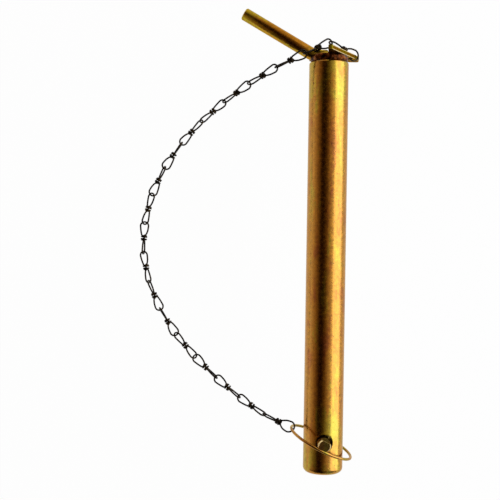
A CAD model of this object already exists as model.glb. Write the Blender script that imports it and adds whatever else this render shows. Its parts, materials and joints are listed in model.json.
"""Dresses a lower link pin: zinc plated bars, a rippled weld, a sprung linch pin and a knotted chain."""

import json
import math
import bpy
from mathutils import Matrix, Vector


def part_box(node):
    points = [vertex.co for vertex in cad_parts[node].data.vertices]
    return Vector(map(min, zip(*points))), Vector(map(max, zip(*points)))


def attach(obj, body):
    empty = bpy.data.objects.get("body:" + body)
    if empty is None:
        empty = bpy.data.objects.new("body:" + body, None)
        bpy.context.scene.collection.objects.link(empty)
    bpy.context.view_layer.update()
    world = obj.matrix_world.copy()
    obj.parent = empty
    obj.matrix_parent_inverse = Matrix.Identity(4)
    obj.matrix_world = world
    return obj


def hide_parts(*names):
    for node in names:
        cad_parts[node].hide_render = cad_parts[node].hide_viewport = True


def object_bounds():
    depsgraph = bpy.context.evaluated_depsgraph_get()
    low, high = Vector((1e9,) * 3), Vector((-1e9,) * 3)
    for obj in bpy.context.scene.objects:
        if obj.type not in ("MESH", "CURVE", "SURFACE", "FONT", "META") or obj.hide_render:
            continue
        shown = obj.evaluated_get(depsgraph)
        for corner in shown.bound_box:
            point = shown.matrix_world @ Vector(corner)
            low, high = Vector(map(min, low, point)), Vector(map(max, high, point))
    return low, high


bl_info = {
    "name": "Lower link pin",
    "version": (1, 0, 0),
    "blender": (4, 5, 0),
    "location": "3D View > Sidebar > Link pin",
    "description": "Builds the visible pieces of a lower link pin round its CAD frame",
    "category": "Add Mesh",
}

import bmesh
import bpy
from bpy.props import FloatProperty, FloatVectorProperty, IntProperty, PointerProperty
from mathutils import Matrix, Vector, noise

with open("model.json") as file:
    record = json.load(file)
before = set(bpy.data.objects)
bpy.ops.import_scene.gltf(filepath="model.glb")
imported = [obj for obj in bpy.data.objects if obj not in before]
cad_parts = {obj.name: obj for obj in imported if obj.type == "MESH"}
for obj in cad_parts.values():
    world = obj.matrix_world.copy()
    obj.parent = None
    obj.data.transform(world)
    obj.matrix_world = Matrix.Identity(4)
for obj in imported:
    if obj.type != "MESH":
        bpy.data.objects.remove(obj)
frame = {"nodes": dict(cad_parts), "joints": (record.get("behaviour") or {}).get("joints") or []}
CAD_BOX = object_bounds()

MM = 0.001
SHANK_LOW, SHANK_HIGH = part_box("shank")
PLATE_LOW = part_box("head_plate")[0]
HANDLE_LOW, HANDLE_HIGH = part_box("handle")
LINCH_LOW, LINCH_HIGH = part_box("linch_pin")
RING_HINGE = next(j for j in frame["joints"] if j["name"] == "ring_hinge")
MIDDLE_Y = (SHANK_LOW.y + SHANK_HIGH.y) / 2
# Most values of a noise texture lie between these
NOISE_LOW = 0.3
NOISE_HIGH = 0.7


def linear(code):
    """Turns an sRGB hex code into linear red, green and blue."""
    parts = [int(code[i:i + 2], 16) / 255 for i in (1, 3, 5)]
    return tuple(c / 12.92 if c <= 0.04045 else ((c + 0.055) / 1.055) ** 2.4 for c in parts)


def length(label, words, default):
    """A length property, in metres."""
    return FloatProperty(
        name=label, description=words, default=default, min=0.0, unit="LENGTH", subtype="DISTANCE",
        precision=5,
    )


def colour(label, words, code):
    """A colour property, given as an sRGB hex code."""
    return FloatVectorProperty(
        name=label, description=words, default=linear(code), min=0.0, max=1.0, size=3, subtype="COLOR"
    )


class PinSizes(bpy.types.PropertyGroup):
    """Sizes of the shank, the plate, the handle and the welds."""

    shank_d: length("Shank diameter", "Diameter of the turned shank", SHANK_HIGH.x - SHANK_LOW.x)
    top_chamfer: length("Top chamfer", "Chamfer at the shank's top edge", 1.0 * MM)
    foot_round: length("Foot rounding", "Radius of the rounded edge at the shank's foot", 4.0 * MM)
    edge_round: length("Edge rounding", "Rounding of the shank's top edges", 1.6 * MM)
    hole_d: length("Cross hole", "Diameter of the hole for the linch pin", 11.0 * MM)
    hole_from_foot: length("Hole from foot", "Distance from the foot to the hole's axis", 23.0 * MM)
    mouth_round: length("Hole edge", "Rounding of the cross hole's mouths", 0.5 * MM)
    plate_edge: length("Plate edge", "Rounding of the head plate's edges", 0.45 * MM)
    bar_d: length("Handle diameter", "Diameter of the handle bar", HANDLE_HIGH.z - HANDLE_LOW.z)
    bar_edge: length("Handle edge", "Chamfer at the handle's end", 0.7 * MM)
    bend_out: length("Bend place", "Distance from the shank's axis to the handle's bend", 10.0 * MM)
    bend_r: length("Bend radius", "Radius of the handle's bend on its centre line", 20.0 * MM)
    bar_angle: FloatProperty(
        name="Handle angle", description="Angle of the grip above the plate", default=math.radians(30.0),
        subtype="ANGLE",
    )
    bead_bulge: length("Bead bulge", "How far the weld bead stands out", 0.8 * MM)
    ripple: length("Ripple", "Depth of the weld bead's ripples", 0.2 * MM)
    lump: length("Lump", "Size of the weld bead's lumps", 3.5 * MM)
    ripples: IntProperty(name="Ripples", description="Ripples round the head's weld bead", default=22, min=3)


class LinchSizes(bpy.types.PropertyGroup):
    """Sizes of the linch pin and its ring."""

    stud_d: length("Stud diameter", "Diameter of the stud through the cross hole", 9.0 * MM)
    head_d: length("Head diameter", "Diameter of the linch pin's head", LINCH_HIGH.x - LINCH_LOW.x)
    edge: length("Edges", "Rounding of the linch pin's edges", 0.4 * MM)
    rim: length("Rim", "Height of the bevel round the stud's tip", 1.0 * MM)
    ring_r: length("Ring radius", "Mean radius of the sprung ring", 23.2 * MM)
    ring_wire: length("Ring wire", "Diameter of the ring's wire", 2.0 * MM)
    ring_gap: length("Ring gap", "Gap between the closed ring and its seat in the stud", 0.2 * MM)
    ring_seat: length("Ring seat", "Depth of the seat that is cut in the stud's side", 1.7 * MM)


class ChainSizes(bpy.types.PropertyGroup):
    """Sizes of the knotted chain."""

    wire_d: length("Wire", "Diameter of the chain's wire", 1.2 * MM)
    loop_half_w: length("Loop half width", "Half the width of a loop on the wire's centre line", 3.0 * MM)
    end_loop_extra: length("End loop", "How much wider the first and last loops are, on each side", 1.0 * MM)
    play: length("Play", "Room between the wires of two linked loops", 0.5 * MM)
    wrap_r: length("Wrap radius", "Radius of a knot's wraps on the wire's centre line", 1.9 * MM)
    lead: length("Wrap lead", "How far a wrap moves along the link in one turn", 0.72 * MM)
    tail: length("Tail", "How far a knot's cut end stands out", 0.15 * MM)
    turns: FloatProperty(name="Knot turns", description="Turns of wire in half a knot", default=1.6, min=0.5)


class Finishes(bpy.types.PropertyGroup):
    """Colours of the plating, the welds, the chain's wire and the floor."""

    gold: colour("Gold", "Main colour of the yellow passivated zinc", "#B87D1E")
    amber: colour("Amber", "Warmer patches of the plating", "#AA641C")
    olive: colour("Olive", "Greener patches of the plating", "#B09622")
    rose: colour("Rose", "Reddish patches of the plating", "#A05A34")
    rubbed: colour("Rubbed edges", "Pale plating on edges that are rubbed bright", "#E6CB8C")
    bead: colour("Weld", "Plated weld bead", "#5E3014")
    bead_dark: colour("Weld valleys", "Dark red between the bead's ripples", "#1E0E06")
    wire: colour("Chain wire", "Dark steel wire", "#16110C")
    wire_worn: colour("Worn wire", "Browner wire where the links rub", "#453722")
    floor: colour("Floor", "Pale floor", "#F7F7F5")


def add(tree, kind, inputs=None, **settings):
    """Adds one node, with its settings, and sets or links its inputs."""
    node = tree.nodes.new(kind)
    for key, value in settings.items():
        setattr(node, key, value)
    for key, value in (inputs or {}).items():
        if isinstance(value, bpy.types.NodeSocket):
            tree.links.new(value, node.inputs[key])
        else:
            node.inputs[key].default_value = value
    return node


def new_material(name):
    """An empty material with its output node."""
    material = bpy.data.materials.new(name)
    material.use_nodes = True
    material.node_tree.nodes.clear()
    return material, material.node_tree, add(material.node_tree, "ShaderNodeOutputMaterial")


def rgba(value):
    """A colour with full alpha, for a node's socket."""
    return (*value, 1.0)


def set_ramp(node, stops):
    """Sets a colour ramp's stops, as (place, colour)."""
    ramp = node.color_ramp
    while len(ramp.elements) < len(stops):
        ramp.elements.new(1.0)
    for element, (place, value) in zip(ramp.elements, stops):
        element.position = place
        element.color = rgba(value)


def per_metre(size):
    """A texture scale whose features are about this size, in metres."""
    return 1.0 / size


def yellow_zinc(name, turn=0.0, roughness=0.21, shade=1.0, coat=0.6):
    """Yellow passivated zinc on drawn steel: a gold film with cloudy amber, olive and rose patches, yellower
    toward the head and the foot, fine drawing marks along the bar, and small dark pits. Turn lays the marks
    along a bar, a shade under 1 darkens the film, and coat is the weight of the clear film over it."""
    finish = bpy.context.scene.link_finish
    material, tree, out = new_material(name)
    place = add(tree, "ShaderNodeTexCoord").outputs["Object"]
    along = add(tree, "ShaderNodeMapping", {"Vector": place, "Rotation": (0.0, 0.0, turn)}).outputs["Vector"]
    patches = add(tree, "ShaderNodeMapping", {"Vector": along, "Scale": (1.0, 0.3, 1.0)}).outputs["Vector"]
    marks = add(tree, "ShaderNodeMapping", {"Vector": along, "Scale": (1.0, 0.04, 1.0)}).outputs["Vector"]
    cloud = add(tree, "ShaderNodeTexNoise", {
        "Vector": patches, "Scale": per_metre(9 * MM), "Detail": 4.0, "Roughness": 0.6, "Distortion": 0.4,
    }).outputs["Fac"]
    mottle = add(tree, "ShaderNodeTexNoise", {
        "Vector": along, "Scale": per_metre(2.2 * MM), "Detail": 5.0, "Roughness": 0.65,
    }).outputs["Fac"]
    drawn = add(tree, "ShaderNodeTexNoise", {
        "Vector": marks, "Scale": per_metre(0.9 * MM), "Detail": 3.0, "Roughness": 0.6,
    }).outputs["Fac"]
    pit_cells = add(tree, "ShaderNodeTexVoronoi", {"Vector": along, "Scale": per_metre(3.0 * MM)})
    pits = add(tree, "ShaderNodeMapRange", {
        "Value": pit_cells.outputs["Distance"], "From Min": 0.05, "From Max": 0.16,
    }).outputs["Result"]

    length_way = add(tree, "ShaderNodeSeparateXYZ", {"Vector": place}).outputs["Y"]
    from_middle = add(tree, "ShaderNodeMath", {0: length_way, 1: MIDDLE_Y}, operation="SUBTRACT").outputs[0]
    to_end = add(tree, "ShaderNodeMath", {0: from_middle}, operation="ABSOLUTE").outputs[0]
    yellower = add(tree, "ShaderNodeMapRange", {
        "Value": to_end, "From Min": 60 * MM, "From Max": 140 * MM, "To Min": 0.0, "To Max": 0.14,
    }).outputs["Result"]
    hue = add(tree, "ShaderNodeMath", {0: cloud, 1: yellower}, operation="SUBTRACT").outputs[0]
    film = add(tree, "ShaderNodeValToRGB", {"Fac": hue})
    tints = [Vector(c) * shade for c in (finish.olive, finish.gold, finish.gold, finish.amber, finish.rose)]
    set_ramp(film, list(zip((0.30, 0.42, 0.52, 0.62, 0.74), tints)))
    cloudy = add(tree, "ShaderNodeMapRange", {
        "Value": mottle, "From Min": NOISE_LOW, "From Max": NOISE_HIGH, "To Min": 0.66, "To Max": 1.22,
    }).outputs["Result"]
    streaky = add(tree, "ShaderNodeMapRange", {
        "Value": drawn, "From Min": NOISE_LOW, "From Max": NOISE_HIGH, "To Min": 0.86, "To Max": 1.08,
    }).outputs["Result"]
    uneven = add(tree, "ShaderNodeMath", {0: cloudy, 1: streaky}, operation="MULTIPLY").outputs[0]
    pitted = add(tree, "ShaderNodeMapRange", {
        "Value": pits, "To Min": 0.55, "To Max": 1.0,
    }).outputs["Result"]
    tone = add(tree, "ShaderNodeMath", {0: uneven, 1: pitted}, operation="MULTIPLY").outputs[0]
    tinted = add(tree, "ShaderNodeVectorMath", {0: film.outputs["Color"], "Scale": tone}, operation="SCALE")

    gloss = add(tree, "ShaderNodeMapRange", {
        "Value": mottle, "From Min": NOISE_LOW, "From Max": NOISE_HIGH,
        "To Min": roughness - 0.06, "To Max": roughness + 0.1,
    }).outputs["Result"]
    fine = add(tree, "ShaderNodeBump", {"Height": drawn, "Strength": 0.25, "Distance": 0.03 * MM})
    pocked = add(tree, "ShaderNodeBump", {
        "Height": pits, "Strength": 0.6, "Distance": 0.08 * MM, "Normal": fine.outputs["Normal"],
    })
    waves = add(tree, "ShaderNodeBump", {
        "Height": mottle, "Strength": 0.25, "Distance": 0.12 * MM, "Normal": pocked.outputs["Normal"],
    })
    surface = add(tree, "ShaderNodeBsdfPrincipled", {
        "Base Color": tinted.outputs["Vector"], "Metallic": 1.0, "Roughness": gloss,
        "Normal": waves.outputs["Normal"], "Specular Tint": rgba(finish.rubbed),
        "Coat Weight": coat, "Coat Roughness": 0.2,
    })
    tree.links.new(surface.outputs["BSDF"], out.inputs["Surface"])
    return material


def rubbed_zinc(name):
    """The plating on an edge that is rubbed bright."""
    finish = bpy.context.scene.link_finish
    material, tree, out = new_material(name)
    place = add(tree, "ShaderNodeTexCoord").outputs["Object"]
    rub = add(tree, "ShaderNodeTexNoise", {
        "Vector": place, "Scale": per_metre(2.5 * MM), "Detail": 4.0, "Roughness": 0.6,
    }).outputs["Fac"]
    tint = add(tree, "ShaderNodeValToRGB", {"Fac": rub})
    set_ramp(tint, [(0.35, finish.olive), (0.5, finish.rubbed)])
    surface = add(tree, "ShaderNodeBsdfPrincipled", {
        "Base Color": tint.outputs["Color"], "Metallic": 1.0, "Roughness": 0.3,
    })
    tree.links.new(surface.outputs["BSDF"], out.inputs["Surface"])
    return material


def plated_weld(name):
    """Arc weld bead under the same plating: lumpy, redder and duller than the bars, dark in its valleys."""
    finish = bpy.context.scene.link_finish
    material, tree, out = new_material(name)
    place = add(tree, "ShaderNodeTexCoord").outputs["Object"]
    lumps = add(tree, "ShaderNodeTexNoise", {
        "Vector": place, "Scale": per_metre(3.0 * MM), "Detail": 3.0, "Roughness": 0.6,
    }).outputs["Fac"]
    spatter = add(tree, "ShaderNodeTexVoronoi", {
        "Vector": place, "Scale": per_metre(1.4 * MM),
    }).outputs["Distance"]
    tint = add(tree, "ShaderNodeValToRGB", {"Fac": lumps})
    set_ramp(tint, [(0.38, finish.bead_dark), (0.54, finish.bead), (0.74, finish.amber)])
    gloss = add(tree, "ShaderNodeMapRange", {
        "Value": lumps, "To Min": 0.3, "To Max": 0.55,
    }).outputs["Result"]
    rough = add(tree, "ShaderNodeBump", {"Height": lumps, "Strength": 0.5, "Distance": 0.25 * MM})
    beaded = add(tree, "ShaderNodeBump", {
        "Height": spatter, "Strength": 0.2, "Distance": 0.15 * MM, "Normal": rough.outputs["Normal"],
    })
    surface = add(tree, "ShaderNodeBsdfPrincipled", {
        "Base Color": tint.outputs["Color"], "Metallic": 1.0, "Roughness": gloss,
        "Normal": beaded.outputs["Normal"],
    })
    tree.links.new(surface.outputs["BSDF"], out.inputs["Surface"])
    return material


def dark_wire(name):
    """Blackened steel wire: dark oxide, rubbed brown in places, with a low satin gloss."""
    finish = bpy.context.scene.link_finish
    material, tree, out = new_material(name)
    place = add(tree, "ShaderNodeTexCoord").outputs["Object"]
    rub = add(tree, "ShaderNodeTexNoise", {
        "Vector": place, "Scale": per_metre(3.0 * MM), "Detail": 4.0, "Roughness": 0.6,
    }).outputs["Fac"]
    tint = add(tree, "ShaderNodeValToRGB", {"Fac": rub})
    set_ramp(tint, [(0.45, finish.wire), (0.7, finish.wire_worn)])
    gloss = add(tree, "ShaderNodeMapRange", {"Value": rub, "To Min": 0.5, "To Max": 0.3}).outputs["Result"]
    scale = add(tree, "ShaderNodeBump", {"Height": rub, "Strength": 0.4, "Distance": 0.05 * MM})
    surface = add(tree, "ShaderNodeBsdfPrincipled", {
        "Base Color": tint.outputs["Color"], "Metallic": 1.0, "Roughness": gloss,
        "Normal": scale.outputs["Normal"],
    })
    tree.links.new(surface.outputs["BSDF"], out.inputs["Surface"])
    return material


# Share of the floor that is plain white to the eye; the rest takes the part's shadow
PAPER_WHITE = 0.97


def floor_paper(name):
    """Matt white paper. The camera and reflections see it as white, and it keeps a faint shadow."""
    finish = bpy.context.scene.link_finish
    material, tree, out = new_material(name)
    paper = add(tree, "ShaderNodeBsdfDiffuse", {"Color": rgba(finish.floor)})
    white = add(tree, "ShaderNodeEmission", {"Color": (1.0, 1.0, 1.0, 1.0), "Strength": 1.0})
    rays = add(tree, "ShaderNodeLightPath").outputs
    seen = add(tree, "ShaderNodeMath", {
        0: rays["Is Camera Ray"], 1: rays["Is Glossy Ray"],
    }, operation="MAXIMUM")
    any_seen = add(tree, "ShaderNodeMath", {
        0: seen.outputs[0], 1: rays["Is Transmission Ray"],
    }, operation="MAXIMUM")
    share = add(tree, "ShaderNodeMath", {0: any_seen.outputs[0], 1: PAPER_WHITE}, operation="MULTIPLY")
    surface = add(tree, "ShaderNodeMixShader", {
        0: share.outputs[0], 1: paper.outputs["BSDF"], 2: white.outputs["Emission"],
    })
    tree.links.new(surface.outputs["Shader"], out.inputs["Surface"])
    return material


def mesh_piece(name, points, faces, material):
    """A smooth mesh object with its place in its mesh."""
    mesh = bpy.data.meshes.new(name)
    mesh.from_pydata([tuple(p) for p in points], [], faces)
    made = bmesh.new()
    made.from_mesh(mesh)
    loose = [v for v in made.verts if not v.link_faces]
    bmesh.ops.delete(made, geom=loose, context="VERTS")
    bmesh.ops.recalc_face_normals(made, faces=made.faces)
    made.to_mesh(mesh)
    made.free()
    mesh.shade_smooth()
    mesh.materials.append(material)
    piece = bpy.data.objects.new(name, mesh)
    bpy.context.scene.collection.objects.link(piece)
    return piece


def settle(piece):
    """Turns a piece with modifiers into a plain mesh without them."""
    bpy.context.view_layer.update()
    graph = bpy.context.evaluated_depsgraph_get()
    mesh = bpy.data.meshes.new_from_object(piece.evaluated_get(graph))
    old = piece.data
    piece.modifiers.clear()
    piece.data = mesh
    bpy.data.meshes.remove(old)
    mesh.name = piece.name
    return piece


def bevel(piece, width, segments=3):
    """Rounds the edges that a piece has marked, with its second material, and keeps its flats flat."""
    rounding = piece.modifiers.new("Edges", "BEVEL")
    rounding.width = width
    rounding.segments = segments
    rounding.limit_method = "WEIGHT"
    rounding.use_clamp_overlap = False
    rounding.material = 1
    shading = piece.modifiers.new("Flats", "WEIGHTED_NORMAL")
    shading.keep_sharp = True
    return settle(piece)


def on_body(piece, body, slot, *nodes):
    """Puts a finished piece on its CAD body, in place of the nodes that it stands for."""
    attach(piece, body)
    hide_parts(*nodes)
    return piece


def wire_tree():
    """Geometry Nodes that sweep a round wire along each path of a mesh of edges."""
    tree = bpy.data.node_groups.new("Round wire along a path", "GeometryNodeTree")
    face = tree.interface
    face.new_socket("Geometry", in_out="INPUT", socket_type="NodeSocketGeometry")
    face.new_socket("Wire diameter", in_out="INPUT", socket_type="NodeSocketFloat")
    face.new_socket("Sides", in_out="INPUT", socket_type="NodeSocketInt")
    face.new_socket("Smoothness", in_out="INPUT", socket_type="NodeSocketInt")
    face.new_socket("Material", in_out="INPUT", socket_type="NodeSocketMaterial")
    face.new_socket("Geometry", in_out="OUTPUT", socket_type="NodeSocketGeometry")
    given = add(tree, "NodeGroupInput").outputs
    path = add(tree, "GeometryNodeMeshToCurve", {"Mesh": given["Geometry"]}).outputs["Curve"]
    typed = add(tree, "GeometryNodeCurveSplineType", {
        "Curve": path,
    }, spline_type="CATMULL_ROM").outputs["Curve"]
    fine = add(tree, "GeometryNodeSetSplineResolution", {
        "Geometry": typed, "Resolution": given["Smoothness"],
    }).outputs["Geometry"]
    taper = add(tree, "GeometryNodeInputNamedAttribute", {"Name": "thickness"}, data_type="FLOAT")
    sized = add(tree, "GeometryNodeSetCurveRadius", {
        "Curve": fine, "Radius": taper.outputs["Attribute"],
    }).outputs["Curve"]
    half = add(tree, "ShaderNodeMath", {0: given["Wire diameter"], 1: 0.5}, operation="MULTIPLY").outputs[0]
    circle = add(tree, "GeometryNodeCurvePrimitiveCircle", {
        "Resolution": given["Sides"], "Radius": half,
    }, mode="RADIUS").outputs["Curve"]
    swept = add(tree, "GeometryNodeCurveToMesh", {
        "Curve": sized, "Profile Curve": circle, "Fill Caps": True,
    })
    # Where this node has a scale, it takes the thickness there and not from the curve's radius
    if "Scale" in swept.inputs:
        tree.links.new(taper.outputs["Attribute"], swept.inputs["Scale"])
    smooth = add(tree, "GeometryNodeSetShadeSmooth", {"Geometry": swept.outputs["Mesh"]}).outputs["Geometry"]
    real = add(tree, "GeometryNodeRealizeInstances", {"Geometry": smooth}).outputs["Geometry"]
    finished = add(tree, "GeometryNodeSetMaterial", {"Geometry": real, "Material": given["Material"]})
    add(tree, "NodeGroupOutput", {"Geometry": finished.outputs["Geometry"]})
    return tree


def wire_piece(name, paths, diameter, sides, smoothness, material):
    """One mesh of round wire along paths of (point, share of the full thickness)."""
    points = [point for path in paths for point, _ in path]
    shares = [share for path in paths for _, share in path]
    edges = []
    first = 0
    for path in paths:
        edges += [(i, i + 1) for i in range(first, first + len(path) - 1)]
        first += len(path)
    mesh = bpy.data.meshes.new(name)
    mesh.from_pydata([tuple(p) for p in points], edges, [])
    mesh.attributes.new("thickness", "FLOAT", "POINT").data.foreach_set("value", shares)
    piece = bpy.data.objects.new(name, mesh)
    bpy.context.scene.collection.objects.link(piece)
    tree = bpy.data.node_groups.get("Round wire along a path") or wire_tree()
    sweep = piece.modifiers.new("Wire", "NODES")
    sweep.node_group = tree
    values = {"Wire diameter": diameter, "Sides": sides, "Smoothness": smoothness, "Material": material}
    for item in tree.interface.items_tree:
        if item.in_out == "INPUT" and item.name in values:
            sweep[item.identifier] = values[item.name]
    return settle(piece)


def arc(centre, radius, start, end, steps):
    """Points of a flat arc, between two angles in radians."""
    angles = [start + (end - start) * i / steps for i in range(steps + 1)]
    return [(centre[0] + radius * math.cos(a), centre[1] + radius * math.sin(a)) for a in angles]


def rounded_line(corners, radius, steps=4):
    """A flat line with its inner corners rounded, each within the sides that meet there."""
    most = 0.45
    line = [corners[0]]
    for before, at, after in zip(corners, corners[1:], corners[2:]):
        at = Vector(at)
        into = Vector(before) - at
        out = Vector(after) - at
        half = into.angle(out) / 2
        reach = min(radius / math.tan(half), into.length * most, out.length * most)
        start = at + into.normalized() * reach
        end = at + out.normalized() * reach
        for i in range(steps + 1):
            t = i / steps
            line.append(tuple(start * (1 - t) ** 2 + at * 2 * t * (1 - t) + end * t * t))
    return line + [corners[-1]]


def shank_piece(sizes, material):
    """The turned shank, with rounded chamfers and a cross hole whose mouths have rounded edges."""
    r = sizes.shank_d / 2
    hole_r = sizes.hole_d / 2
    foot = SHANK_LOW.y
    hole_y = foot + sizes.hole_from_foot
    columns = 96
    upper_rows = 26
    lower_rows = 2
    foot_rows = 10
    mouth_columns = 10
    mouth_rows = 20
    mouth_rings = 6
    step = 2 * math.pi / columns
    patch = r * mouth_columns * step
    top = rounded_line([
        (0.0, SHANK_HIGH.y), (r - sizes.top_chamfer, SHANK_HIGH.y),
        (r, SHANK_HIGH.y - sizes.top_chamfer), (r, foot),
    ], sizes.edge_round)[1:-1]
    foot_centre = (r - sizes.foot_round, foot + sizes.foot_round)
    bottom = arc(foot_centre, sizes.foot_round, 0.0, -math.pi / 2, foot_rows)
    upper = [(r, y) for y in spread(top[-1][1], hole_y + patch, upper_rows)[1:-1]]
    mouth = [(r, y) for y in spread(hole_y + patch, hole_y - patch, mouth_rows)]
    lower = [(r, y) for y in spread(hole_y - patch, bottom[0][1], lower_rows)[1:-1]]
    rows = top + upper + mouth + lower + bottom
    first = len(top) + len(upper)
    last = first + mouth_rows

    points = []
    for radius, y in rows:
        points += [(radius * math.sin(j * step), y, radius * math.cos(j * step)) for j in range(columns)]
    faces = []
    for i in range(len(rows) - 1):
        for j in range(columns):
            from_mouth = min(abs((j + 0.5) - side) for side in (0, columns / 2, columns))
            if first <= i < last and from_mouth < mouth_columns:
                continue
            k = (j + 1) % columns
            faces.append((i * columns + j, i * columns + k, (i + 1) * columns + k, (i + 1) * columns + j))
    for row, y in ((0, SHANK_HIGH.y), (len(rows) - 1, foot)):
        points.append((0.0, y, 0.0))
        for j in range(columns):
            faces.append((row * columns + j, row * columns + (j + 1) % columns, len(points) - 1))

    # Each mouth runs from the square left in the grid to the hole, then over its rounded edge
    m = mouth_columns
    border = [(d, first) for d in range(-m, m)] + [(m, i) for i in range(first, last)]
    border += [(-d, last) for d in range(-m, m)] + [(-m, i) for i in range(last, first, -1)]
    rim = hole_r + sizes.mouth_round
    inner = [(t / mouth_rings, 0.0, rim) for t in range(1, mouth_rings + 1)]
    for t in (30, 60, 90):
        a = math.radians(t)
        inner.append((1.0, sizes.mouth_round * (1 - math.cos(a)), rim - sizes.mouth_round * math.sin(a)))
    edges = []
    for up, column in ((1, 0), (-1, columns // 2)):
        ring = [i * columns + (column + up * d) % columns for d, i in border]
        for share, depth, radius in inner:
            new_ring = []
            for d, i in border:
                x = r * math.sin(d * step)
                y = rows[i][1] - hole_y
                angle = math.atan2(y, x)
                x += (radius * math.cos(angle) - x) * share
                y += (radius * math.sin(angle) - y) * share
                new_ring.append(len(points))
                points.append((x, hole_y + y, up * (math.sqrt(r * r - x * x) - depth)))
            faces += band(ring, new_ring)
            ring = new_ring
        edges.append(ring)
    faces += band(*edges)
    return mesh_piece("shank_bar", points, faces, material)


def spread(start, end, steps):
    """Even values from start to end, both kept."""
    return [start + (end - start) * i / steps for i in range(steps + 1)]


def band(ring, other):
    """Faces between two closed rings of the same number of points."""
    n = len(ring)
    return [(ring[j], ring[(j + 1) % n], other[(j + 1) % n], other[j]) for j in range(n)]


def softened_copy(name, node, width, material, rubbed, rim=0.0):
    """A copy of a CAD node's own solid, with its long edges rounded and rubbed bright. A rim is the height
    of the bevel round its top, which is made narrower and taller and is rubbed bright too."""
    sharp = math.radians(35.0)
    flat = math.radians(0.5)
    near = 0.02 * MM
    lowered = 0.4
    widened = 1.07
    mesh = frame["nodes"][node].data.copy()
    mesh.materials.clear()
    mesh.materials.append(material)
    mesh.materials.append(rubbed)
    made = bmesh.new()
    made.from_mesh(mesh)
    bmesh.ops.remove_doubles(made, verts=made.verts, dist=1e-6)
    bmesh.ops.dissolve_limit(made, angle_limit=flat, verts=made.verts, edges=made.edges)
    marked = made.edges.layers.float.new("bevel_weight_edge")
    long_edge = 3 * width
    for edge in made.edges:
        if edge.is_manifold and edge.calc_length() > long_edge and edge.calc_face_angle() > sharp:
            edge[marked] = 1.0
    if rim:
        top = max(v.co.z for v in made.verts)
        low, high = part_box(node)
        axis = (low + high).xy / 2
        for v in made.verts:
            if abs(top - rim - v.co.z) < near:
                v.co.z -= rim * lowered
            elif top - v.co.z < near:
                v.co.xy = axis + (v.co.xy - axis) * widened
        made.normal_update()
        # The bevel's faces lean: they are neither the flat top nor the upright side
        for face in made.faces:
            if face.calc_center_median().z > top - 2 * rim and 0.15 < face.normal.z < 0.9:
                face.material_index = 1
    made.to_mesh(mesh)
    made.free()
    for layer in list(mesh.attributes):
        if layer.name in ("custom_normal", "sharp_edge", "sharp_face"):
            mesh.attributes.remove(layer)
    mesh.shade_smooth()
    mesh.set_sharp_from_angle(angle=sharp)
    piece = bpy.data.objects.new(name, mesh)
    bpy.context.scene.collection.objects.link(piece)
    return bevel(piece, width)


def head_bead(sizes, material):
    """The weld bead between the shank's top and the plate, laid in overlapping ripples."""
    columns = 300
    rows = 12
    inset = 0.3 * MM
    # How far a ripple bows over the bead's height, and how much the lumps shift it and swell it
    bow = 0.9
    wander = 2
    lumpiness = 3
    bead_r = sizes.shank_d / 2 - sizes.top_chamfer - inset
    height = PLATE_LOW.y
    points = []
    for i in range(rows + 1):
        s = i / rows
        swell = math.sin(math.pi * s)
        for j in range(columns):
            a = 2 * math.pi * j / columns
            spot = Vector((bead_r * math.sin(a), height * s, bead_r * math.cos(a)))
            uneven = noise.noise(spot / sizes.lump)
            phase = sizes.ripples * a / 2 + bow * swell + wander * uneven
            wave = sizes.ripple * (abs(math.sin(phase)) - 0.5 + lumpiness * uneven)
            radius = bead_r + swell * (sizes.bead_bulge + wave)
            points.append((radius * math.sin(a), height * s, radius * math.cos(a)))
    rings = [list(range(i * columns, (i + 1) * columns)) for i in range(rows + 1)]
    faces = [face for ring, other in zip(rings, rings[1:]) for face in band(ring, other)]
    for ring, y in ((rings[0], 0.0), (rings[-1], height)):
        points.append((0.0, y, 0.0))
        faces += [(ring[j], ring[(j + 1) % columns], len(points) - 1) for j in range(columns)]
    return mesh_piece("head_bead", points, faces, material)


def handle_bead(material):
    """The short bead along the far side of the handle's leg."""
    low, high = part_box("handle_weld")
    bead_r = 2.0 * MM
    # The bead grows from a thin tip at each end, with shallow ripples across it
    tip = 0.35
    growth = 5
    ripples = 7
    depth = 0.1
    y = high.y - bead_r
    z = low.z + bead_r
    steps = 36
    path = []
    for i in range(steps + 1):
        t = i / steps
        taper = min(1.0, tip + growth * min(t, 1 - t))
        ripple = 1 - depth * abs(math.sin(math.pi * ripples * t))
        path.append((Vector((high.x + (low.x - high.x) * t, y, z)), taper * ripple))
    return wire_piece("handle_bead", [path], 2 * bead_r, sides=24, smoothness=2, material=material)


def handle_piece(sizes, material):
    """The bent handle bar, with chamfered ends."""
    r = sizes.bar_d / 2
    start = Vector((HANDLE_HIGH.x, r))
    corner = Vector((-sizes.bend_out, r))
    way = Vector((-math.cos(sizes.bar_angle), math.sin(sizes.bar_angle)))
    grip = (corner.x - HANDLE_LOW.x - r * math.sin(sizes.bar_angle)) / math.cos(sizes.bar_angle)
    end = corner + way * grip
    bend_x = sizes.bend_r * math.tan(sizes.bar_angle / 2) - sizes.bend_out
    down = -math.pi / 2
    bend = arc((bend_x, r + sizes.bend_r), sizes.bend_r, down, down - sizes.bar_angle, 12)
    thin = 1 - sizes.bar_edge / r
    path = [(start, thin), (start + Vector((-sizes.bar_edge, 0.0)), 1.0)]
    path += [(Vector(p), 1.0) for p in bend]
    path += [(end - way * sizes.bar_edge, 1.0), (end, thin)]
    path = [(p.to_3d(), t) for p, t in path]
    return wire_piece("handle_bar", [path], sizes.bar_d, sides=48, smoothness=1, material=material)


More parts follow.
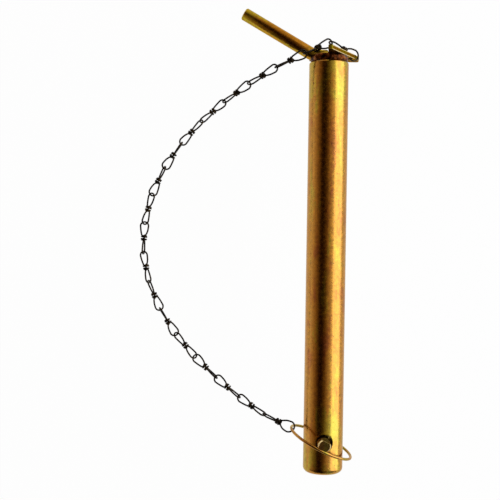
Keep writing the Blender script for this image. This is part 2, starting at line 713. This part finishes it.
def ring_place(sizes):
    """The ring's eye, its hinge direction, the way it stands, and its eye's distance from its centre."""
    side_room = 1.0 * MM
    half_gap = sizes.head_d / 2 + side_room
    to_centre = math.sqrt(sizes.ring_r ** 2 - half_gap ** 2)
    clear = (sizes.stud_d + sizes.ring_wire) / 2 + sizes.ring_gap - sizes.ring_seat
    lean = math.asin(clear / (to_centre + sizes.ring_r))
    eye = Vector(RING_HINGE["pos_m"])
    hinge = Vector(RING_HINGE["axis"])
    up = Vector((0.0, 0.0, 1.0))
    return eye, hinge, up * math.cos(lean) + hinge.cross(up) * math.sin(lean), to_centre


def ring_piece(sizes, material):
    """The sprung ring, one wire with its ends turned into the linch pin's head."""
    eye, hinge, stand, to_centre = ring_place(sizes)
    gap = math.acos(to_centre / sizes.ring_r)
    ends = sizes.head_d / 4
    down = -math.pi / 2
    loop = arc((0.0, to_centre), sizes.ring_r, down + gap, 3 * math.pi / 2 - gap, 72)
    line = [(ends, 0.0), (2 * ends, 0.0)] + loop + [(-2 * ends, 0.0), (-ends, 0.0)]
    path = [(eye + hinge * across + stand * up, 1.0) for across, up in line]
    return wire_piece("linch_wire_ring", [path], sizes.ring_wire, sides=20, smoothness=2, material=material)


# Roll of each link about its own length, in degrees, counted from the plate: at 0 its first loop lies flat
LINK_ROLLS = (10, -10, 0, 18, 14, 26, 53, 90, 68, 40, 10, 30, 65, 78, 43, 5, 8, 20, 65)
# Points that the chain runs through, from the plate's hole over the handle and round to the ring, in mm
CHAIN_WAY = (
    (20.8, 6.1, -9.7), (-0.6, 14.4, 1.5), (-18.6, 3.8, 10.5), (-39, -5, 2), (-58, -15.5, -8),
    (-76, -28, -15.5), (-92.5, -42.5, -18.5), (-113, -68, -18.5), (-127, -97.5, -19), (-132, -129, -19.5),
    (-127, -159, -20), (-112, -189, -20.5), (-91, -214, -20), (-67, -235, -17), (-45, -250, -9.5),
)
ROUTE_STEPS = 12


def spline(a, b, c, d, t):
    """A point between b and c of the smooth curve through a, b, c and d."""
    square = a * 2 - b * 5 + c * 4 - d
    cube = b * 3 - a - c * 3 + d
    return (b * 2 + (c - a) * t + square * t ** 2 + cube * t ** 3) * 0.5


def chain_joints(end):
    """Where the links meet: the chain's way, seen from above, shared equally between its links."""
    way = [Vector(p) * MM for p in CHAIN_WAY] + [end]
    way = [way[0] * 2 - way[1]] + way + [way[-1] * 2 - way[-2]]
    curve = []
    for four in zip(way, way[1:], way[2:], way[3:]):
        curve += [spline(*four, s / ROUTE_STEPS) for s in range(ROUTE_STEPS)]
    curve.append(end)
    done = [0.0]
    for a, b in zip(curve, curve[1:]):
        done.append(done[-1] + (b - a).xy.length)
    count = len(LINK_ROLLS)
    joints = []
    for k in range(count):
        mark = done[-1] * k / count
        i = next(n for n in range(1, len(done)) if done[n] > mark)
        joints.append(curve[i - 1].lerp(curve[i], (mark - done[i - 1]) / (done[i] - done[i - 1])))
    return joints + [end]


def half_link(sizes, half, w):
    """Half of a link's wire as (along, across, out): from the core, round the loop, to the tail's end."""
    knot_r = sizes.wrap_r
    wraps_end = sizes.wire_d * 0.45
    # A side leaves the knot over a shoulder and has most of the loop's width half way to the bend
    shoulder = 0.6 * MM
    rise = 0.7
    belly = 0.85
    narrow = 0.8
    widening = 0.2
    steps = 24
    knot = wraps_end + sizes.turns * sizes.lead
    bend = half - w
    middle = (knot + bend) / 2
    line = [(knot, 0.0, 0.0), (knot + shoulder, knot_r * rise, 0.0), (middle, w * belly, 0.0)]
    line += [(x, y, 0.0) for x, y in arc((bend, 0.0), w, math.pi / 2, -math.pi / 2, 12)]
    line += [(middle, -w * belly, 0.0), (knot + shoulder, -knot_r, 0.0)]
    # The wraps widen toward the link's middle, so the knot is round
    for i in range(steps + 1):
        a = 2 * math.pi * sizes.turns * i / steps - math.pi / 2
        r = knot_r * (narrow + widening * i / steps)
        line.append((knot - sizes.turns * sizes.lead * i / steps, r * math.sin(a), r * math.cos(a)))
    # The cut end leaves the knot straight, on the way that the wrap was going and a little outward
    onward = Vector((0.0, math.cos(a), -math.sin(a)))
    outward = Vector((0.0, math.sin(a), math.cos(a)))
    tail_way = (onward + outward * 0.25).normalized()
    line.append(tuple(Vector(line[-1]) + tail_way * sizes.tail))
    return line


def link_paths(sizes, end):
    """Each link's one wire: a tail, the first loop, the core, the second loop across it, and a tail."""
    joints = chain_joints(end)
    wide = sizes.loop_half_w + sizes.end_loop_extra
    last = len(LINK_ROLLS) - 1
    paths = []
    for k, (a, b) in enumerate(zip(joints, joints[1:])):
        way = (b - a).normalized()
        level = Vector((0.0, 0.0, 1.0)).cross(way).normalized()
        roll = math.radians(LINK_ROLLS[k])
        across = level * math.cos(roll) + way.cross(level) * math.sin(roll)
        out = way.cross(across)
        half = ((b - a).length + sizes.wire_d + sizes.play) / 2
        first = half_link(sizes, half, wide if k == 0 else sizes.loop_half_w)
        second = half_link(sizes, half, wide if k == last else sizes.loop_half_w)
        line = [(-x, y, z) for x, y, z in reversed(first)] + [(x, -z, y) for x, y, z in second]
        middle = (a + b) / 2
        paths.append([(middle + way * x + across * y + out * z, 1.0) for x, y, z in line])
    return paths


def chain_end(linch, chain):
    """The middle of the hook where the last loop holds the ring."""
    slack = 0.4 * MM
    from_wire = Vector((0.85, -0.3, 0.42)).normalized()
    eye, hinge, stand, to_centre = ring_place(linch)
    left = eye + stand * to_centre - hinge * linch.ring_r
    reach = (linch.ring_wire - chain.play) / 2 + slack
    return left + from_wire * reach


# The pin hangs this far over the floor, so that its ring has room to swing open
RING_ROOM = 55 * MM
# Half the floor's width, in metres
FLOOR_HALF = 30.0
# The softbox on the right: its place, the point that it faces, its sides, its power and its cool white
LAMP_PLACE = (0.95, 0.05, 0.4)
LAMP_TARGET = (-0.02, -0.12, 0.0)
LAMP_SIDES = (1.8, 1.15)
LAMP_WATTS = 15.0
DAYLIGHT = "#E4F0FF"
# The photo's camera looks straight down; its lens and its sensor's width are in millimetres
CAMERA_PLACE = (-0.0539, -0.1337, 0.6834)
CAMERA_ROLL = math.radians(0.92)
CAMERA_LENS = 69.4
CAMERA_SENSOR = 36.0


class LINK_PIN_OT_stage(bpy.types.Operator):
    """Set up the floor, the lamp, the world and the camera"""

    bl_idname = "link_pin.stage"
    bl_label = "Stage"

    def execute(self, context):
        scene = context.scene
        mesh = bpy.data.meshes.new("floor_sheet")
        low = CAD_BOX[0][2] - RING_ROOM
        corners = [(-1, -1), (1, -1), (1, 1), (-1, 1)]
        mesh.from_pydata([(x * FLOOR_HALF, y * FLOOR_HALF, low) for x, y in corners], [], [(0, 1, 2, 3)])
        mesh.materials.append(floor_paper("White paper"))
        floor = bpy.data.objects.new("floor_sheet", mesh)
        scene.collection.objects.link(floor)

        soft_box("right_softbox", LAMP_PLACE, LAMP_TARGET, LAMP_SIDES, LAMP_WATTS)
        studio_sky(scene)

        lens = bpy.data.cameras.new("photo_camera")
        lens.sensor_width = CAMERA_SENSOR
        lens.lens = CAMERA_LENS
        camera = bpy.data.objects.new("photo_camera", lens)
        camera.location = CAMERA_PLACE
        camera.rotation_euler = (0.0, 0.0, CAMERA_ROLL)
        scene.collection.objects.link(camera)
        scene.camera = camera
        scene.view_settings.view_transform = "Standard"
        return {"FINISHED"}


def soft_box(name, place, target, size, watts):
    """A rectangular studio lamp that faces a point, with its long side along Y."""
    light = bpy.data.lights.new(name, "AREA")
    light.shape = "RECTANGLE"
    light.size, light.size_y = size
    light.energy = watts
    light.color = linear(DAYLIGHT)
    lamp = bpy.data.objects.new(name, light)
    back = (Vector(place) - Vector(target)).normalized()
    side = (Vector((0.0, 1.0, 0.0)) - back * back.y).normalized()
    turn = Matrix((side, back.cross(side), back)).transposed().to_4x4()
    lamp.matrix_world = Matrix.Translation(place) @ turn
    bpy.context.scene.collection.objects.link(lamp)
    return lamp


# Colours of the room from low on the left, over the top, to low on the right
ROOM = (
    (0.0, "#C8BFB4"), (0.17, "#806A52"), (0.29, "#20110A"), (0.4, "#1C0F07"),
    (0.5, "#5C4830"), (0.63, "#BCB09C"), (0.72, "#E2E8F0"), (1.0, "#DCE4F0"),
)
# The plain wall that the head's end faces
FAR_WALL = "#B8A88C"


def studio_sky(scene):
    """A room that is dark overhead and at the foot's end, pale low on the left and white on the right."""
    world = bpy.data.worlds.new("Studio room")
    world.use_nodes = True
    tree = world.node_tree
    tree.nodes.clear()
    way = add(tree, "ShaderNodeTexCoord").outputs["Generated"]
    parts = add(tree, "ShaderNodeSeparateXYZ", {"Vector": way}).outputs
    angle = add(tree, "ShaderNodeMath", {0: parts["X"], 1: parts["Z"]}, operation="ARCTAN2").outputs[0]
    share = add(tree, "ShaderNodeMapRange", {
        "Value": angle, "From Min": -math.pi / 2, "From Max": math.pi / 2,
    }).outputs["Result"]
    walls = add(tree, "ShaderNodeValToRGB", {"Fac": share})
    set_ramp(walls, [(place, linear(code)) for place, code in ROOM])
    # The far wall stands past the head, and the room is darker past the foot
    far = add(tree, "ShaderNodeMapRange", {
        "Value": parts["Y"], "From Min": 0.6, "From Max": 0.95,
    }).outputs["Result"]
    paint = add(tree, "ShaderNodeMix", {
        "Factor": far, 6: walls.outputs["Color"], 7: rgba(linear(FAR_WALL)),
    }, data_type="RGBA").outputs[2]
    level = add(tree, "ShaderNodeMapRange", {
        "Value": parts["Y"], "From Min": -0.45, "From Max": -0.22, "To Min": 0.4, "To Max": 1.5,
    }).outputs["Result"]
    room = add(tree, "ShaderNodeBackground", {"Color": paint, "Strength": level})
    add(tree, "ShaderNodeOutputWorld", {"Surface": room.outputs["Background"]})
    scene.world = world


class LINK_PIN_OT_shank(bpy.types.Operator):
    """Build the shank with its cross hole"""

    bl_idname = "link_pin.shank"
    bl_label = "Shank"

    def execute(self, context):
        piece = shank_piece(context.scene.link_pin, yellow_zinc("Yellow zinc on drawn bar"))
        on_body(piece, "pin", "yellow_zinc", "shank")
        return {"FINISHED"}


class LINK_PIN_OT_head(bpy.types.Operator):
    """Build the plate, the handle and the welds"""

    bl_idname = "link_pin.head"
    bl_label = "Head"

    def execute(self, context):
        sizes = context.scene.link_pin
        bar = yellow_zinc("Yellow zinc on bent bar", turn=sizes.bar_angle - math.pi / 2, coat=0.2)
        plate = yellow_zinc(
            "Yellow zinc on cut plate", turn=math.pi / 2, roughness=0.38, shade=0.42, coat=0.0
        )
        rubbed = rubbed_zinc("Yellow zinc rubbed on the plate")
        weld = plated_weld("Plated weld")
        on_body(handle_piece(sizes, bar), "pin", "yellow_zinc", "handle")
        cut = softened_copy("plate_cut", "head_plate", sizes.plate_edge, plate, rubbed)
        on_body(cut, "pin", "yellow_zinc", "head_plate")
        on_body(head_bead(sizes, weld), "pin", "weld", "head_weld")
        on_body(handle_bead(weld), "pin", "weld", "handle_weld")
        return {"FINISHED"}


class LINK_PIN_OT_linch(bpy.types.Operator):
    """Build the linch pin and its sprung ring"""

    bl_idname = "link_pin.linch"
    bl_label = "Linch pin and ring"

    def execute(self, context):
        sizes = context.scene.link_linch
        stud = yellow_zinc("Yellow zinc on turned stud", roughness=0.3, shade=0.3)
        rubbed = rubbed_zinc("Yellow zinc rubbed on the stud")
        wire = yellow_zinc("Yellow zinc on spring wire", roughness=0.2, shade=0.9)
        turned = softened_copy("linch_stud", "linch_pin", sizes.edge, stud, rubbed, sizes.rim)
        on_body(turned, "linch_pin", "yellow_zinc", "linch_pin")
        on_body(ring_piece(sizes, wire), "ring", "yellow_zinc", "linch_ring")
        return {"FINISHED"}


class LINK_PIN_OT_chain(bpy.types.Operator):
    """Build the knotted wire chain"""

    bl_idname = "link_pin.chain"
    bl_label = "Chain"

    def execute(self, context):
        sizes = context.scene.link_chain
        paths = link_paths(sizes, chain_end(context.scene.link_linch, sizes))
        wire = dark_wire("Dark steel wire")
        piece = wire_piece("chain_wire_links", paths, sizes.wire_d, sides=12, smoothness=2, material=wire)
        nodes = [f"chain_link_{k + 1:02d}" for k in range(len(paths))]
        on_body(piece, "pin", "chain_wire", *nodes)
        return {"FINISHED"}


class LINK_PIN_PT_build(bpy.types.Panel):
    """Lists the steps that build the link pin"""

    bl_label = "Link pin"
    bl_space_type = "VIEW_3D"
    bl_region_type = "UI"
    bl_category = "Link pin"

    def draw(self, context):
        for step in STEPS:
            self.layout.operator(step.bl_idname)


GROUPS = {"link_pin": PinSizes, "link_linch": LinchSizes, "link_chain": ChainSizes, "link_finish": Finishes}
STEPS = (LINK_PIN_OT_stage, LINK_PIN_OT_shank, LINK_PIN_OT_head, LINK_PIN_OT_linch, LINK_PIN_OT_chain)


def register():
    for name, group in GROUPS.items():
        bpy.utils.register_class(group)
        setattr(bpy.types.Scene, name, PointerProperty(type=group))
    for kind in (*STEPS, LINK_PIN_PT_build):
        bpy.utils.register_class(kind)


def unregister():
    for kind in (LINK_PIN_PT_build, *reversed(STEPS)):
        bpy.utils.unregister_class(kind)
    for name, group in reversed(GROUPS.items()):
        delattr(bpy.types.Scene, name)
        bpy.utils.unregister_class(group)


def main():
    register()
    bpy.ops.link_pin.stage()
    bpy.ops.link_pin.shank()
    bpy.ops.link_pin.head()
    bpy.ops.link_pin.linch()
    bpy.ops.link_pin.chain()


if __name__ == "__main__":
    main()
